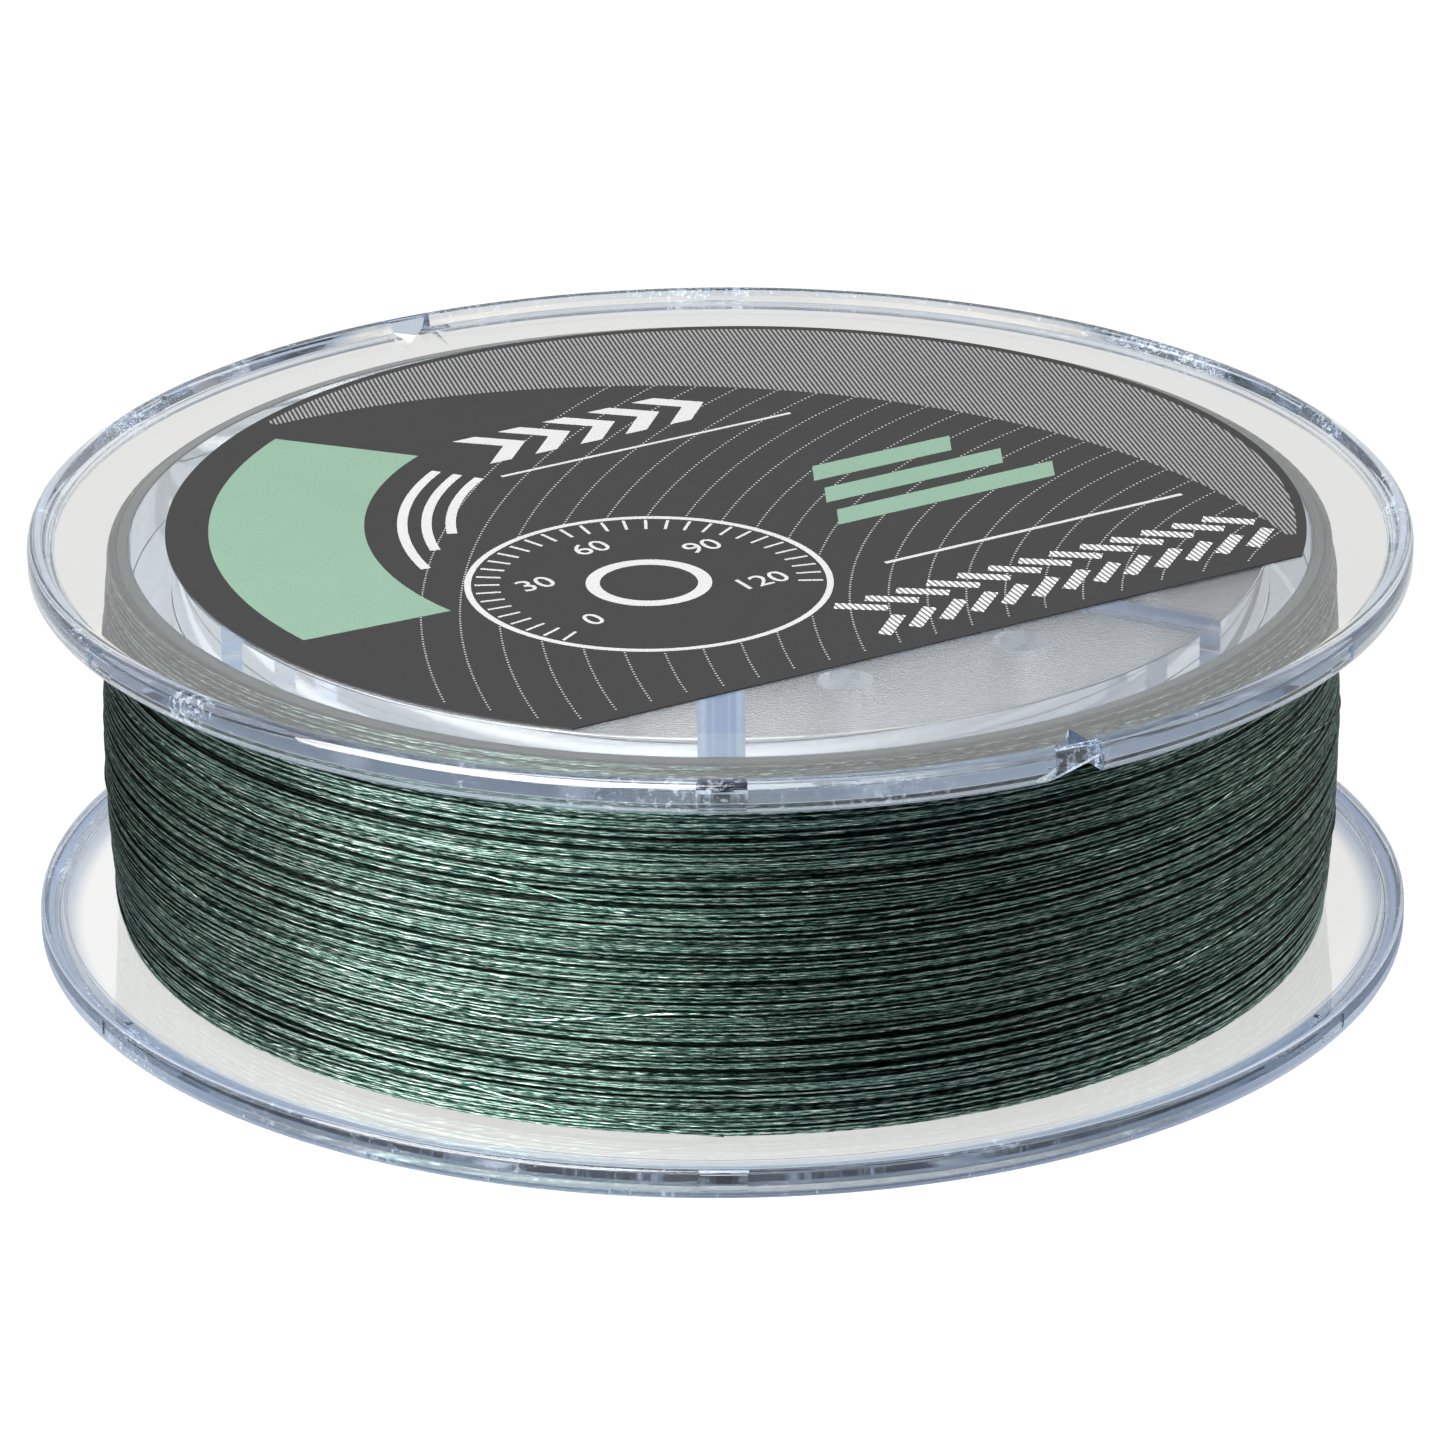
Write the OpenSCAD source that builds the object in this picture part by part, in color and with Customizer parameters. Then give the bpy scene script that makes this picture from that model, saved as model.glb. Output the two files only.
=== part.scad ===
// Filler spool of braided fishing line: two clear flanged halves that peg together at the
// middle of the drum, the line wound on the drum between them, and a round label with one
// straight edge stuck on the upper flange.
// Millimetres, +Z up. The origin is on the spindle axis, level with the face the spool rests on.
// Angles are counted from the front (-Y) towards the right (+X).

/* [Flanges] */
// Diameter of both flanges
flange_d = 80; // [77:0.5:100]
// Overall height, from crest to crest of the two rims
spool_h = 24.8; // [18:0.2:40]
// Thickness of a flange plate
plate_t = 1.0; // [0.8:0.1:2]
// Depth of a plate's outer face below the crest of its rim
plate_recess = 0.6; // [0.4:0.1:0.9]

/* [Rims] */
// Width of a rim, measured along the radius
rim_w = 1.45; // [1.3:0.05:1.8]
// Height of a rim along the spindle axis
rim_h = 1.9; // [1.8:0.1:3.4]
// Radius of the round on a rim's outer edge
rim_edge_r = 0.65; // [0.3:0.05:0.9]
// Radius of the round on a rim's edge beside the line
rim_foot_r = 0.3; // [0.1:0.05:0.4]
// Width of the flat crest between the rim's sloped inside and its rounded outside
rim_crest_w = 0.15; // [0.05:0.05:0.3]
// Depth of the flat moulding marks on the rim's outer wall
mark_depth = 0.15; // [0.05:0.05:0.3]

/* [Drum and hub] */
// Outer diameter of the drum that the line is wound on
drum_d = 68.3; // [60:0.1:70]
// Thickness of the drum's wall
drum_wall = 2.4; // [1:0.05:3]
// Outer diameter of the hub tube
hub_d = 14; // [12:0.5:20]
// Diameter of the spindle hole through the hub
spindle_d = 10; // [6:0.5:11]
// Number of ribs from the hub to the drum
rib_count = 6; // [3:1:8]
// Thickness of a rib
rib_w = 2.6; // [1.2:0.1:3.4]

/* [Pegs] */
// Diameter of the circle on which the pegs and sockets stand
peg_circle_d = 48.6; // [40:0.2:52]
// Angle from a rib to its peg on one side and its socket on the other
peg_from_rib = 16.5; // [12:0.5:22]
// Outer diameter of the boss round a peg or socket
boss_d = 3.2; // [2.8:0.1:4.4]
// Diameter of a peg
peg_d = 1.8; // [1.2:0.1:2]
// Length of a peg past the joint between the halves
peg_l = 3; // [1.5:0.1:5]
// Radial clearance of a peg in its socket
peg_clear = 0.05; // [0.02:0.01:0.1]
// Extra depth of a socket past the end of its peg
socket_extra = 0.4; // [0.2:0.1:1]

/* [Line slots] */
// Number of line slots round the upper rim, the first half way between two ribs
slot_count = 2; // [1:1:3]
// Angle from half way between two ribs to a slot's straight side
slot_side_a = 1.2; // [0:0.1:5]
// Length of the ramp that leads the line into a slot
slot_ramp_l = 3.8; // [2:0.1:6]
// Depth of the ramp at the slot
slot_ramp_h = 1.1; // [0.6:0.1:1.4]
// Length of a slot's pocket along the radius
slot_pocket_l = 3.1; // [2:0.1:3.6]
// Width of a slot's pocket along the rim
slot_pocket_w = 2.9; // [1.5:0.1:5]
// Thickness of the rim left outside a pocket
slot_lip_t = 0.4; // [0.3:0.05:0.6]

/* [Line] */
// Width of the braided line as it lies on the drum
line_d = 0.3; // [0.2:0.02:0.4]
// Turns in the outer layer
line_turns = 24; // [8:1:24]
// Depth of the wound line over the drum beside the flanges
wind_depth = 1.3; // [1.1:0.05:2]
// Extra depth of the wound line half way between the flanges
wind_bulge = 0.6; // [0:0.05:1]
// Clearance round the inner layers, to the drum and the flange plates
wind_clear = 0.05; // [0.02:0.01:0.2]

/* [Label] */
// Diameter of the label
label_d = 66; // [50:0.5:70]
// Thickness of the label
label_t = 0.12; // [0.1:0.01:0.3]
// Distance from the label's centre to its straight edge
label_cut = 22.35; // [10:0.05:24]
// Turn of the straight edge away from the front
label_turn = 31.5; // [0:0.5:180]
// How far the label was stuck off centre towards the right
label_off_x = 0.9; // [-1:0.1:1]
// How far the label was stuck off centre towards the back
label_off_y = 0.7; // [-1:0.1:1]

/* [Hidden] */

// Facets of the large rounds and of the small ones
$fn = 180;
SMALL_FN = 32;
// Overshoot of every cut past the face it opens
CUT = 1;

flange_r = flange_d / 2;
rim_in_r = flange_r - rim_w;
crest_in_r = flange_r - rim_edge_r - rim_crest_w;
plate_in_z = plate_recess + plate_t;
mid_z = spool_h / 2;
drum_r = drum_d / 2;
drum_in_r = drum_r - drum_wall;
hub_r = hub_d / 2;
spindle_r = spindle_d / 2;
rib_step = 360 / rib_count;
// The upper half is the lower one turned over about this line, which keeps ribs on ribs
// and puts each peg over a socket
turn_axis = rib_step / 2;

// The line's outer layer: one ring of RING_SIDES points every 360 / RINGS_PER_TURN degrees
RINGS_PER_TURN = 24;
RING_SIDES = 6;
// A turn's chords sag inwards by this factor between two rings
SAG = cos(180 / RINGS_PER_TURN);
wind_lo_z = plate_in_z + wind_clear;
wind_hi_z = spool_h - wind_lo_z;
wind_half = (wind_hi_z - wind_lo_z) / 2;
turn_half = wind_half - line_d;
turn_rings = line_turns * RINGS_PER_TURN;

// The point at radius r and angle a from the front
function polar(r, a) = [r * sin(a), -r * cos(a)];
// Outer radius of the wound line at height z
function wind_r(z) = drum_r + wind_depth + wind_bulge * (1 - pow((z - mid_z) / wind_half, 2));
// Radius of the middle of the outer layer's line, and of the inner layers under its chords
function turn_r(z) = wind_r(z) - line_d / 2;
function inner_r(z) = (turn_r(z) - line_d / 2) * SAG - wind_clear;

// ---- the two halves ----

// Stands its child on the front of a circle and turns it to angle a
module at(r, a) rotate(a) translate([0, -r, 0]) children();

// Section of the rim, outer side down
module rim_section() {
    polygon([
        [rim_in_r - plate_t / 2, plate_recess], [rim_in_r, plate_recess], [crest_in_r, 0],
        [flange_r - rim_edge_r, 0], [flange_r - rim_edge_r, rim_edge_r],
        [flange_r, rim_edge_r], [flange_r, rim_h - rim_foot_r],
        [flange_r - rim_foot_r, rim_h - rim_foot_r], [flange_r - rim_foot_r, rim_h],
        [rim_in_r, rim_h], [rim_in_r - plate_t / 2, plate_in_z],
    ]);
    translate([flange_r - rim_edge_r, rim_edge_r]) circle(r = rim_edge_r, $fn = SMALL_FN);
    translate([flange_r - rim_foot_r, rim_h - rim_foot_r]) circle(r = rim_foot_r, $fn = SMALL_FN);
}

// Rim, plate, drum wall and hub tube in one turn about the spindle axis
module half_lathe() rotate_extrude() {
    rim_section();
    translate([spindle_r, plate_recess]) square([rim_in_r - spindle_r, plate_t]);
    translate([drum_in_r, plate_recess]) square([drum_wall, mid_z - plate_recess]);
    translate([spindle_r, plate_recess]) square([hub_r - spindle_r, mid_z - plate_recess]);
}

// Ribs from the hub to the drum, as deep as the half
module ribs() for (i = [0:rib_count - 1]) {
    rib_from = (spindle_r + hub_r) / 2;
    rib_to = drum_r - drum_wall / 2;
    at(0, i * rib_step) translate([-rib_w / 2, -rib_to, plate_recess + plate_t / 2])
        cube([rib_w, rib_to - rib_from, mid_z - plate_recess - plate_t / 2]);
}

// A boss with a peg on one side of each rib, a boss with a socket on the other
module bosses() for (i = [0:rib_count - 1], side = [-1, 1]) {
    boss_z = plate_recess + plate_t / 2;
    at(peg_circle_d / 2, i * rib_step + side * peg_from_rib) {
        translate([0, 0, boss_z]) cylinder(d = boss_d, h = mid_z - boss_z, $fn = SMALL_FN);
        if (side < 0) translate([0, 0, boss_z])
            cylinder(d = peg_d, h = mid_z + peg_l - boss_z, $fn = SMALL_FN);
    }
}

module sockets() for (i = [0:rib_count - 1]) {
    depth = peg_l + socket_extra;
    at(peg_circle_d / 2, i * rib_step + peg_from_rib) translate([0, 0, mid_z - depth])
        cylinder(d = peg_d + 2 * peg_clear, h = depth + CUT, $fn = SMALL_FN);
}

// Flat moulding marks on the rim's outer wall, one at the end of each rib
module rim_marks() for (i = [0:rib_count - 1])
    at(flange_r - mark_depth, i * rib_step) translate([-rib_w / 2, -CUT, rim_edge_r])
        cube([rib_w, CUT, rim_h - rim_edge_r - rim_foot_r]);

// A line slot whose straight side faces right at the front: a ramp up the rim's inner side,
// and a three-cornered pocket through plate and rim, where the line comes out and jams
// against the straight side
module line_slot() {
    lip_r = flange_r - slot_lip_t;
    plate_r = rim_in_r - slot_lip_t;
    pocket_a = slot_pocket_w / lip_r * 180 / PI;
    rotate(-90) rotate_extrude(angle = pocket_a) translate([plate_r, -CUT])
        square([lip_r - plate_r, rim_h + 2 * CUT]);
    translate([0, 0, -CUT]) linear_extrude(rim_h + 2 * CUT)
        polygon([[0, -plate_r - CUT / 10], polar(plate_r + CUT / 10, pocket_a),
                 [0, slot_pocket_l - lip_r]]);
    translate([0, -plate_r, rim_h]) rotate([90, 0, 0]) linear_extrude(rim_w + CUT)
        polygon([[0, -slot_ramp_h], [0, CUT], [slot_ramp_l, CUT], [slot_ramp_l, 0]]);
}

// One half, outer side down, on the face it rests on
module half(slots) {
    difference() {
        union() {
            half_lathe();
            ribs();
            bosses();
        }
        sockets();
        rim_marks();
        if (slots) for (i = [0:slot_count - 1])
            rotate(turn_axis - slot_side_a + i * 360 / slot_count) line_slot();
    }
}

module lower_half() {
    color([0.82, 0.86, 0.93, 0.5]) half(false);
}

module upper_half() {
    color([0.80, 0.85, 0.93, 0.5]) translate([0, 0, spool_h])
        rotate(a = 180, v = [sin(turn_axis), -cos(turn_axis), 0]) half(true);
}

// ---- the line ----

// All layers under the outermost, as one plain ring with a barrel outside
module line_inner_layers() {
    steps = 12;
    heights = [for (i = [0:steps]) wind_lo_z + 2 * wind_half * i / steps];
    color([0.03, 0.13, 0.10]) rotate_extrude() polygon(concat(
        [[drum_r + wind_clear, wind_hi_z], [drum_r + wind_clear, wind_lo_z]],
        [for (z = heights) [inner_r(z), z]]
    ));
}

// The outer layer is one helix. Ring i of the tube has its centre, and the directions
// across it, from these functions; the first and last two rings stand the ends upright
// on the inner layers.
function turn_z(i) = mid_z + turn_half * (2 * i / turn_rings - 1);
function turn_angle(i) = i * 360 / RINGS_PER_TURN;
function turn_point(i) = let (z = turn_z(i), p = polar(turn_r(z), turn_angle(i))) [p.x, p.y, z];
// An end's point at height h over the inner layers, beside ring i
function end_point(i, h) = let (
    z = turn_z(i),
    p = polar(inner_r(z) + h, turn_angle(i))
) [p.x, p.y, z];

end_from = wind_clear / 2;
path = concat(
    [end_point(0, end_from), end_point(0, end_from + line_d)],
    [for (i = [1:turn_rings - 1]) turn_point(i)],
    [end_point(turn_rings, end_from + line_d), end_point(turn_rings, end_from)]
);
last = len(path) - 1;

function unit(v) = v / norm(v);
function heading(i) = unit(path[min(i + 1, last)] - path[max(i - 1, 0)]);
// Ring directions: one along the spindle axis, one square to it and to the line
function ring_up(i) = let (t = heading(i)) unit([0, 0, 1] - t * t.z);
function ring_point(i, k) = let (
    t = i <= 1 ? unit(path[1] - path[0]) : i >= last - 1 ? unit(path[last] - path[last - 1])
        : heading(i),
    up = unit([0, 0, 1] - t * t.z),
    side = cross(t, up),
    a = 360 * k / RING_SIDES
) path[i] + line_d / 2 * (cos(a) * up + sin(a) * side);

ring_points = [for (i = [0:last], k = [0:RING_SIDES - 1]) ring_point(i, k)];
ring_faces = concat(
    [for (i = [0:last - 1], k = [0:RING_SIDES - 1]) let (
        a = i * RING_SIDES + k,
        b = i * RING_SIDES + (k + 1) % RING_SIDES
    ) each [[a, b, b + RING_SIDES], [a, b + RING_SIDES, a + RING_SIDES]]],
    [for (k = [1:RING_SIDES - 2]) [0, k + 1, k]],
    [for (k = [1:RING_SIDES - 2]) let (z = last * RING_SIDES) [z, z + k, z + k + 1]]
);

module line_outer_turns() {
    color([0.16, 0.36, 0.29]) polyhedron(ring_points, ring_faces);
}

// The least gap of the outer layer to itself: between each ring's centre and the chords of
// the turn above, less one line width
function segment_gap(p, a, b) = let (
    ab = b - a,
    t = max(0, min(1, (p - a) * ab / (ab * ab)))
) norm(p - a - t * ab);
least_gap = min([for (i = [0:last - RINGS_PER_TURN - 1], j = [-1:1])
    segment_gap(path[i], path[max(i + RINGS_PER_TURN + j, 0)],
                path[min(i + RINGS_PER_TURN + j + 1, last)])]) - line_d;
echo(least_gap_of_outer_turns = least_gap, triangles = len(ring_faces));

// ---- the label ----

module label() {
    color([0.25, 0.23, 0.24]) translate([label_off_x, label_off_y, spool_h - plate_recess])
        intersection() {
            cylinder(d = label_d, h = label_t);
            rotate(label_turn) translate([-label_d, -label_cut, -CUT])
                cube([2 * label_d, label_cut + label_d, label_t + 2 * CUT]);
        }
}

lower_half();
upper_half();
line_inner_layers();
line_outer_turns();
label();
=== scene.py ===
# %% [markdown]
# # A filler spool of braided fishing line
# Two clear mouldings peg together at the middle of the drum and hold about 130 m of dark
# green braid between their flanges. A round printed film with one straight edge covers most
# of the upper flange. Sizes below are millimetres, and MM turns them into Blender's metres.

# %% Load the frame
import math
from functools import partial

import bmesh
import bpy
from mathutils import Matrix, Vector


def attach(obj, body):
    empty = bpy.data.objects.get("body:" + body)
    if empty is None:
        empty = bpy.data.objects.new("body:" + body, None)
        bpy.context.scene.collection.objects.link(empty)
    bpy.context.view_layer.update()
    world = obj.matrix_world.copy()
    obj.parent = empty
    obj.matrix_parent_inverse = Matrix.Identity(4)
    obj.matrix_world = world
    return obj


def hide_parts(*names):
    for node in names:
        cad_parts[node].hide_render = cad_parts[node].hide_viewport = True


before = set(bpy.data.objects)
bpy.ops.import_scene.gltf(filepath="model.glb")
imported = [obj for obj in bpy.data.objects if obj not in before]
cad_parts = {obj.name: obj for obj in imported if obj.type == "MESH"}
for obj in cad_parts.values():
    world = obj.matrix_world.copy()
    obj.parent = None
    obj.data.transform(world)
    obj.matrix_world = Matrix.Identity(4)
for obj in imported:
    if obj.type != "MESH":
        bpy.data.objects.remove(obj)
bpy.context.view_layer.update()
MM = 0.001
print("CAD nodes:", sorted(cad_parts))

# %% Sizes of the spool
FLANGE_R = 40.0
SPOOL_H = 24.8
MID_Z = SPOOL_H / 2
PLATE_T, PLATE_RECESS = 1.0, 0.6
PLATE_IN_Z = PLATE_RECESS + PLATE_T
RIM_W, RIM_H, RIM_EDGE_R, RIM_FOOT_R, RIM_CREST_W = 1.45, 1.9, 0.65, 0.3, 0.15
RIM_IN_R = FLANGE_R - RIM_W
MARK_DEPTH = 0.15
DRUM_R, DRUM_WALL = 34.15, 2.4
HUB_R, SPINDLE_R = 7.0, 5.0
RIBS, RIB_W = 6, 2.6
RIB_STEP = 360 / RIBS
PEG_CIRCLE_R, PEG_FROM_RIB = 24.3, 16.5
BOSS_R, PEG_R, PEG_L, PEG_CLEAR, SOCKET_EXTRA = 1.6, 0.9, 3.0, 0.05, 0.4
JOINT_GAP = 0.02  # what is left between the two halves where they meet


def polar(radius, degrees, z=0.0):
    """The point at that radius and angle, counted from the front towards the right."""
    a = math.radians(degrees)
    return Vector((radius * math.sin(a), -radius * math.cos(a), z))


def new_object(name, data):
    """Puts data in the scene as an object."""
    made = bpy.data.objects.new(name, data)
    bpy.context.collection.objects.link(made)
    return made


def new_piece(name, mesh, *materials):
    """Puts a mesh in the scene as a piece of the object, with its materials."""
    piece = new_object(name, mesh)
    for material in materials:
        mesh.materials.append(material)
    return piece


def mesh_now(thing):
    """A plain mesh of what an object is once its modifiers have run."""
    return bpy.data.meshes.new_from_object(
        thing.evaluated_get(bpy.context.evaluated_depsgraph_get()))


# %% [markdown]
# ## Camera
# A long lens from well back, a little over 22 degrees above the spool, so that the flanges
# show as flat ellipses and hardly change in size from front to back.

# %% Camera
LENS, SENSOR_W = 210.99, 36.0
NEAREST, FARTHEST = 0.01, 20.0
DISTANCE = 494.52
ELEVATION, ROLL = 22.395, -0.344
TARGET = Vector((0.064, 0.0, MID_Z - 0.58)) * MM
tilt, roll = math.radians(ELEVATION), math.radians(ROLL)
ahead = Vector((0, math.cos(tilt), -math.sin(tilt)))
level = Vector((1, 0, 0))
upright = level.cross(ahead)
right = level * math.cos(roll) + upright * math.sin(roll)
above = upright * math.cos(roll) - level * math.sin(roll)
camera = new_object("camera", bpy.data.cameras.new("camera"))
place = Matrix((right, above, -ahead)).transposed().to_4x4()
place.translation = TARGET - ahead * DISTANCE * MM
camera.matrix_world = place
camera.data.lens, camera.data.sensor_width = LENS, SENSOR_W
camera.data.clip_start, camera.data.clip_end = NEAREST, FARTHEST
bpy.context.scene.camera = camera
print("camera at", [round(c, 4) for c in place.translation])

# %% [markdown]
# ## Clear polystyrene
# Both halves are one clear plastic. Its body has a faint blue tint, which shows only where the
# eye looks a long way through it. That is absorption inside the body, so it belongs in the
# volume. The thick rims, and the ribs in streaks, take a little more blue at their surface.
# The mould is polished outside, grained in the bays and nearly polished on its upright walls.
# One material does it all from the place of a point, because a ray has to leave a body through
# the same material it came in by.


# %% Helpers for node trees
def node(tree, kind, links=None, **settings):
    """Adds a node; settings are its own, and links gives each input a value or a socket."""
    made = tree.nodes.new(kind)
    for name, value in settings.items():
        setattr(made, name, value)
    for key, value in (links or {}).items():
        if isinstance(value, bpy.types.NodeSocket):
            tree.links.new(value, made.inputs[key])
        else:
            made.inputs[key].default_value = value
    return made


def sum_up(tree, operation, a, b=0.0, c=0.0, clamp=False):
    """One Math node's result."""
    links = {0: a, 1: b, 2: c}
    return node(tree, "ShaderNodeMath", links, operation=operation, use_clamp=clamp).outputs[0]


def vectors(tree, operation, *values):
    """One Vector Math node's outputs."""
    return node(tree, "ShaderNodeVectorMath", dict(enumerate(values)),
                operation=operation).outputs


def blended(tree, share, *colours):
    """The first colour where share is 0 and the second where it is 1, each given or linked."""
    first, second = [c if isinstance(c, bpy.types.NodeSocket) else (*c, 1.0) for c in colours]
    return node(tree, "ShaderNodeMix", {0: share, 6: first, 7: second},
                data_type="RGBA").outputs[2]


def ramped(tree, share, stops):
    """A colour from a ramp through stops, which hold (place, colour)."""
    made = node(tree, "ShaderNodeValToRGB", {"Fac": share})
    marks = made.color_ramp.elements
    marks.remove(marks[1])
    marks[0].position, marks[0].color = stops[0][0], (*stops[0][1], 1.0)
    for at, colour in stops[1:]:
        marks.new(at).color = (*colour, 1.0)
    return made.outputs[0]


def noise(tree, where, scale, detail, roughness=0.5):
    """Noise from 0 to 1 over a place."""
    return node(tree, "ShaderNodeTexNoise", {
        "Vector": where, "Scale": scale, "Detail": detail,
        "Roughness": roughness}).outputs["Fac"]


def noise_along(tree, where, detail):
    """Noise from 0 to 1 over a single number."""
    return node(tree, "ShaderNodeTexNoise", {"W": where, "Scale": 1.0, "Detail": detail},
                noise_dimensions="1D").outputs["Fac"]


def bumped(tree, height, distance, normal=None):
    """A normal that leans as a relief this deep would make it lean."""
    links = {"Strength": 1.0, "Distance": distance, "Height": height}
    if normal is not None:
        links["Normal"] = normal
    return node(tree, "ShaderNodeBump", links).outputs[0]


def new_material(name):
    """An empty material and its tree."""
    material = bpy.data.materials.new(name)
    material.use_nodes = True
    material.node_tree.nodes.clear()
    return material, material.node_tree


# %% Clear plastic
STYRENE_IOR = 1.59
BODY_BLUE, BODY_DENSITY = (0.45, 0.62, 0.80, 1.0), 16.0
RIM_BLUE, RIB_BLUE, NO_TINT = (0.72, 0.81, 0.93), (0.62, 0.71, 0.85), (1.0, 1.0, 0.99)
SHADOW_TINT = (0.95, 0.96, 0.98, 1.0)
ON_FACE = 0.04  # a point this near a flat face lies on it, mm
PAST_ROUND = 0.1  # how far the drum's masks reach out to take in its rounds, mm
OFF_PLATE = 0.05  # where the upright walls begin above the plate, mm
RIM_MARGIN = 0.3  # where the rim's tint begins outside its inner edge, mm
BAY_ROUGH, WALL_ROUGH = 0.10, 0.02
BAY_HAZE, DRUM_HAZE, SCUFF_HAZE, BARE_HAZE = 0.03, 0.01, 0.20, 0.004
WAVE_DEPTH, GRAIN_DEPTH, POLISH_DEPTH = 0.00003, 0.00003, 0.0000005  # metres
SCUFFED_OVER = 0.88  # only the highest noise makes a scuff


def clear_plastic(name):
    """Clear, with masks for grained bays, upright walls, scuffed rims and streaked ribs."""
    material, tree = new_material(name)
    calc = partial(sum_up, tree)
    spot = node(tree, "ShaderNodeTexCoord").outputs["Object"]
    axis = node(tree, "ShaderNodeSeparateXYZ", {0: spot}).outputs
    flat = vectors(tree, "MULTIPLY", spot, (1, 1, 0))[0]
    radius = calc("MULTIPLY", vectors(tree, "LENGTH", flat)["Value"], 1 / MM)
    height = calc("MULTIPLY", axis["Z"], 1 / MM)
    level = calc("MINIMUM", height, calc("SUBTRACT", SPOOL_H, height))

    # masks, each 1 where its name says and 0 elsewhere
    in_wall = DRUM_R - DRUM_WALL - PAST_ROUND
    inside = calc("MULTIPLY", calc("LESS_THAN", radius, in_wall),
                  calc("GREATER_THAN", radius, HUB_R))
    walls = calc("MULTIPLY", calc("GREATER_THAN", level, PLATE_IN_Z + OFF_PLATE),
                 calc("LESS_THAN", radius, DRUM_R + PAST_ROUND))
    drum = calc("MULTIPLY", walls, calc("GREATER_THAN", radius, in_wall))
    rims = calc("GREATER_THAN", radius, RIM_IN_R + RIM_MARGIN)
    from_rib = calc("PINGPONG", calc("ARCTAN2", axis["X"], axis["Y"]),
                    math.radians(RIB_STEP / 2))
    beside = calc("MULTIPLY", radius, calc("SINE", from_rib))  # mm from the rib's middle
    between = calc("GREATER_THAN", beside, RIB_W / 2)
    ribbed = calc("MULTIPLY", inside, calc("SUBTRACT", 1.0, between))
    bays = calc("MULTIPLY", calc("COMPARE", level, PLATE_IN_Z, ON_FACE), inside)
    lids = calc("MULTIPLY", calc("COMPARE", level, PLATE_RECESS, ON_FACE),
                calc("MULTIPLY", inside, between))

    # relief: slow waves of the mould, with a grain on them in the bays and over them
    pits = noise(tree, spot, 6000.0, 3.0)
    slow = bumped(tree, noise(tree, spot, 70.0, 1.0), WAVE_DEPTH)
    grained = calc("MULTIPLY_ADD", calc("ADD", bays, lids), GRAIN_DEPTH, POLISH_DEPTH)
    fine = bumped(tree, pits, grained, slow)
    rough = calc("MULTIPLY_ADD", bays, BAY_ROUGH, calc("MULTIPLY", walls, WALL_ROUGH))

    # haze: what the clear body doesn't let through
    scuffs, patches = noise(tree, spot, 2600.0, 4.0, 0.75), noise(tree, spot, 160.0, 2.0)
    worn = calc("MULTIPLY", rims, calc(
        "GREATER_THAN", calc("MULTIPLY_ADD", patches, 0.5, scuffs), SCUFFED_OVER))
    amount = calc("MULTIPLY_ADD", worn, SCUFF_HAZE, BARE_HAZE)
    amount = calc("MULTIPLY_ADD", drum, DRUM_HAZE, amount)
    amount = calc("MULTIPLY_ADD", bays, BAY_HAZE, amount)
    haze = calc("MULTIPLY", calc("MULTIPLY_ADD", pits, 3.0, -0.5), amount)

    # tint
    flow = noise_along(tree, calc("MULTIPLY", beside, 2.4), 2.0)
    streaked = calc("MULTIPLY", ribbed, calc("MULTIPLY_ADD", flow, 3.0, -0.7))
    tint = blended(tree, rims, blended(tree, streaked, NO_TINT, RIB_BLUE), RIM_BLUE)

    body = node(tree, "ShaderNodeBsdfPrincipled", {
        "Base Color": tint, "Roughness": rough, "IOR": STYRENE_IOR,
        "Transmission Weight": calc("SUBTRACT", 1.0, haze), "Normal": fine})
    # a shadow ray goes straight through, so that light reaches what lies inside
    through = node(tree, "ShaderNodeBsdfTransparent", {"Color": SHADOW_TINT})
    path = node(tree, "ShaderNodeLightPath")
    either = node(tree, "ShaderNodeMixShader", {0: path.outputs["Is Shadow Ray"],
                                                1: body.outputs[0], 2: through.outputs[0]})
    depth = node(tree, "ShaderNodeVolumeAbsorption",
                 {"Color": BODY_BLUE, "Density": BODY_DENSITY})
    node(tree, "ShaderNodeOutputMaterial",
         {"Surface": either.outputs[0], "Volume": depth.outputs[0]})
    return material


PLASTIC = clear_plastic("clear_plastic")
print("plastic:", PLASTIC.name, "with", len(PLASTIC.node_tree.nodes), "nodes")


# %% [markdown]
# ## The two halves
# Each half is turned about the spindle: rim, plate, drum wall and hub tube are one section.
# A modeller could cut this from cylinders with booleans, but a spun section keeps its rounds
# exact and its faces in tidy rings, which clear plastic shows at once. Only what isn't round
# is joined or cut with booleans: ribs, bosses, sockets, moulding marks and line slots.


# %% The section of a half
ROUND_STEP = 11  # degrees turned from one point of a round to the next


def rounded(corners):
    """A closed outline with rounds. corners holds (x, y, radius) in millimetres."""
    outline = []
    for i, (x, y, radius) in enumerate(corners):
        here = Vector((x, y))
        if not radius:
            outline.append(here)
            continue
        back = (Vector(corners[i - 1][:2]) - here).normalized()
        on = (Vector(corners[(i + 1) % len(corners)][:2]) - here).normalized()
        half = back.angle(on) / 2
        centre = here + (back + on).normalized() * radius / math.sin(half)
        start = here + back * radius / math.tan(half) - centre
        turn = start.angle_signed(here + on * radius / math.tan(half) - centre)
        steps = max(2, round(abs(turn) / math.radians(ROUND_STEP)))
        for k in range(steps + 1):
            outline.append(centre + start @ Matrix.Rotation(turn * k / steps, 2))
    return outline


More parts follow.
